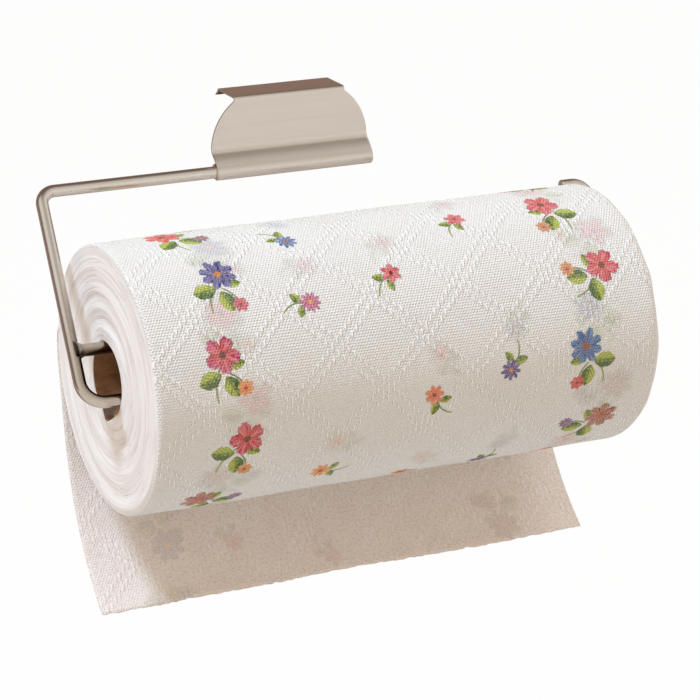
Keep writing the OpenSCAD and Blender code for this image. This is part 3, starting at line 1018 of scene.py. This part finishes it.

# %% [markdown]
# ## Drawn rod
# The rods are drawn and polished, so they are smoother than the plate. Their colour holds painted
# shade: it is darker low down, and darker still on the sides low down that face the mouth of the
# roll, as painted shade for the dark mouth that the steel would mirror. Those sides are found by
# the dot product of the normal and the way to the mouth.

# %% Drawn rod
SHADE_BELOW, SHADE_SOFT = 0.088, 0.03
MOUTH = (-0.13, -0.084, -0.111)
drawn, tree, shader = finish("drawn_rod", roughness=0.2, metallic=1)
here = own_place(tree)
normal = tree.nodes.new("ShaderNodeTexCoord").outputs["Normal"]
fine = noise(tree, here, 1400, 3, 0.6)
smudge = noise(tree, here, 60, 3)
# painted shade: the rods' colour grows darker below this height
shade_low = (split(tree, here)[2] * -1).above(SHADE_BELOW, SHADE_SOFT)
toward = vector_math(tree, "SUBTRACT", MOUTH, here)["Vector"]
toward = vector_math(tree, "NORMALIZE", toward)["Vector"]
facing = Field(tree, vector_math(tree, "DOT_PRODUCT", toward, normal)["Value"])
# painted shade on the low sides that face the roll's dark mouth
mouth_shade = facing.above(-0.12, 0.5) * shade_low
bright = mixed(tree, linear(224, 216, 206), linear(202, 192, 181), (fine - 0.2).bounded())
# the painted shade is laid into the base colour here
shaded_low_rod = mixed(tree, bright, linear(232, 228, 222), shade_low, "MULTIPLY")
put(tree, shader["Base Color"], mixed(tree, shaded_low_rod, linear(132, 121, 112), mouth_shade, "MULTIPLY"))
put(tree, shader["Roughness"], fine * 0.1 + smudge * 0.12 + 0.1)
put(tree, shader["Normal"], bumped(tree, fine, 0.00003, 0.3))
print("drawn_rod", len(tree.nodes), "nodes")

# %% [markdown]
# ## Welds and foam
# The welds are lumpy and duller than the rods, and painted shade makes them dark in the crevice
# where a weld meets the leg or the riser, about 154 mm from the middle. The pad behind the hook
# is black foam, and a Voronoi texture gives its pores. Both are small, so noise on the CAD shape
# is enough.

# %% Welds and foam
LEG_FACE = 0.1539
burnt, tree, shader = finish("weld_metal", roughness=0.34, metallic=1)
here = own_place(tree)
lumps = noise(tree, here, 700, 3, 0.6)
# painted shade: dark where the weld meets the leg or the riser
crevice_shade = (split(tree, here)[0] - AXIS.x).size().above(LEG_FACE, 0.0009)
dulled = mixed(tree, linear(196, 188, 176), linear(150, 138, 126), lumps)
put(tree, shader["Base Color"], mixed(tree, dulled, linear(52, 43, 37), crevice_shade))
put(tree, shader["Normal"], bumped(tree, lumps, 0.0003, 0.8))

foam, tree, shader = finish("foam", roughness=0.95, specular=0.2)
cells = tree.nodes.new("ShaderNodeTexVoronoi")
cells.inputs["Scale"].default_value = 1600
put(tree, cells.inputs["Vector"], own_place(tree))
pores = Field(tree, cells.outputs["Distance"])
put(tree, shader["Base Color"], mixed(tree, linear(34, 32, 32), linear(74, 71, 70), pores))
put(tree, shader["Normal"], bumped(tree, pores, 0.0003, 0.8))

hook.data.materials.append(brushed)
for node, material in (
    ("frame_rod", drawn), ("cross_rod", drawn),
    ("weld_left", burnt), ("weld_right", burnt), ("back_pad", foam),
):
    nodes[node].data.materials.clear()
    nodes[node].data.materials.append(material)
print("steel, foam and card ready")

# %% [markdown]
# ## The room that steel mirrors
# Paper needs cool lamps and a warm room round it, and steel needs something to mirror. So the
# world is a simple room: white in front and below, dark overhead, dark brown behind, where the
# cabinet would be, with a soft window at each side. A ramp gives the walls: it follows the angle
# round the room, from behind, down, forward, over the top and back again. A window is a soft spot
# round a direction, found with a dot product. A picture of a room would do the same, but a few
# tones are enough here, and the script then needs no file.

# %% Room tones
WHITE = (1, 1, 1, 1)
WALLS = (
    (0.0, (0.24, 0.17, 0.14, 1)), (0.13, (0.35, 0.28, 0.24, 1)), (0.24, (0.95, 0.94, 0.93, 1)),
    (0.5, (1, 0.97, 0.95, 1)), (0.58, (0.86, 0.83, 0.8, 1)), (0.66, (0.74, 0.71, 0.67, 1)),
    (0.7, (0.58, 0.56, 0.53, 1)), (0.732, (0.28, 0.24, 0.21, 1)), (0.8, (0.17, 0.13, 0.11, 1)),
    (0.875, (0.2, 0.14, 0.11, 1)), (0.94, (0.37, 0.24, 0.2, 1)), (1.0, (0.24, 0.17, 0.14, 1)),
)
LEFT_WINDOW = ((-0.69, -0.14, 0.71), 0.88, 0.14)
RIGHT_WINDOW = ((0.79, -0.04, 0.61), 0.93, 0.12)
room, into, out = new_group("room", [("Vector", "Direction")], [("Color", "Color")])
_, y, z = split(room, into["Direction"])
height = z.made("ARCTAN2", y * -1) / math.tau + 0.5
windows = None
for way, rim, soft in (LEFT_WINDOW, RIGHT_WINDOW):
    near = Field(room, vector_math(room, "DOT_PRODUCT", into["Direction"], way)["Value"])
    window = near.above(rim, soft)
    windows = window if windows is None else windows.most(window)
walls = ramp(room, height, *WALLS)
put(room, out["Color"], mixed(room, walls, (0.97, 0.96, 0.95, 1), windows * 0.9))
print("room", len(room.nodes), "nodes")

# %% [markdown]
# ## Who sees what
# Rays are told apart by Light Path: steel mirrors the room, matt surfaces get its plain warm
# light, and the camera sees white. The three helpers build that choice from shaders, once for
# the floor and once for the world.

# %% Light helpers
def glowing(tree, kind, color, strength=1.0):
    """A Background or Emission node of this colour."""
    node = tree.nodes.new(kind)
    put(tree, node.inputs["Color"], color)
    node.inputs["Strength"].default_value = strength
    return node.outputs[0]


def either(tree, share, low, high):
    """Shader low where share is 0 and shader high where it is 1."""
    node = tree.nodes.new("ShaderNodeMixShader")
    for slot, value in zip(node.inputs, (share, low, high)):
        put(tree, slot, value)
    return node.outputs[0]


def rays(tree):
    """1 for rays that see the plain white background, and 1 for rays mirrored by steel."""
    path = tree.nodes.new("ShaderNodeLightPath").outputs
    plain = Field(tree, path["Is Camera Ray"]).most(Field(tree, path["Is Transmission Ray"]))
    return plain, Field(tree, path["Is Glossy Ray"])


print("light helpers ready")

# %% [markdown]
# ## Floor
# A pale floor lies far below. It shows the same room tones to steel, as seen from the middle of
# the holder, and keeps a small share of its real shading for the camera, so that the holder's
# soft shadow stays on it.

# %% Floor
MIDDLE = Vector((0.0, -0.08, -0.1))
FLOOR_Z, FLOOR_WIDE = -0.75, 12
FLOOR_ROOM, FLOOR_WHITE = 0.85, 0.96
bpy.ops.object.select_all(action="DESELECT")
bpy.ops.mesh.primitive_plane_add(size=FLOOR_WIDE, location=(0, 0, FLOOR_Z))
floor = bpy.context.object
floor.name = "floor"
bpy.ops.object.transform_apply(location=True)
pale, tree, shader = finish("pale_floor", roughness=0.9)
here = own_place(tree)
grain = noise(tree, here, 30, 3)
put(tree, shader["Base Color"], mixed(tree, (0.8, 0.79, 0.78, 1), (0.76, 0.75, 0.74, 1), grain))
direction = vector_math(tree, "SUBTRACT", here, MIDDLE)["Vector"]
tone = placed(tree, room, Direction=direction)["Color"]
plain, mirrored = rays(tree)
lit = tree.nodes["Principled BSDF"].outputs[0]
lit = either(tree, mirrored * FLOOR_ROOM, lit, glowing(tree, "ShaderNodeEmission", tone))
lit = either(tree, plain * FLOOR_WHITE, lit, glowing(tree, "ShaderNodeEmission", WHITE))
put(tree, tree.nodes["Material Output"].inputs["Surface"], lit)
floor.data.materials.append(pale)
print("floor", FLOOR_WIDE, "m wide")

# %% [markdown]
# ## Lamps and world
# A cool key lamp, high on the left, lights the paper, and a weak fill lamp on the right keeps
# the shadows open. Both are hidden from glossy rays, since steel would mirror them as hard white
# patches: it sees the soft windows in the room instead. The world gives the warm light.

# %% Lamps and world
def lamp(name, place, size, watts, color):
    """A soft square lamp at place, turned to shine at the middle of the holder."""
    light = bpy.data.lights.new(name, "AREA")
    light.shape = "SQUARE"
    light.size = size
    light.energy = watts
    light.color = color
    piece = bpy.data.objects.new(name, light)
    piece.location = place
    piece.rotation_euler = (MIDDLE - Vector(place)).to_track_quat("-Z", "Y").to_euler()
    piece.visible_glossy = False
    scene.collection.objects.link(piece)


lamp("key_lamp", place=(-1.5, -0.2, 2.55), size=0.5, watts=71, color=(0.62, 0.79, 1))
lamp("fill_lamp", place=(0.9, -0.7, 1.5), size=0.8, watts=6.5, color=(0.66, 0.82, 1))

world = bpy.data.worlds.new("studio")
scene.world = world
world.use_nodes = True
sky = world.node_tree
direction = sky.nodes.new("ShaderNodeTexCoord").outputs["Generated"]
tone = placed(sky, room, Direction=direction)["Color"]
plain, mirrored = rays(sky)
warm = glowing(sky, "ShaderNodeBackground", (1, 0.853, 0.686, 1), strength=0.785)
lit = either(sky, mirrored, warm, glowing(sky, "ShaderNodeBackground", tone))
lit = either(sky, plain, lit, glowing(sky, "ShaderNodeBackground", WHITE))
put(sky, sky.nodes["World Output"].inputs["Surface"], lit)
scene.view_settings.view_transform = "Standard"
print("studio ready")
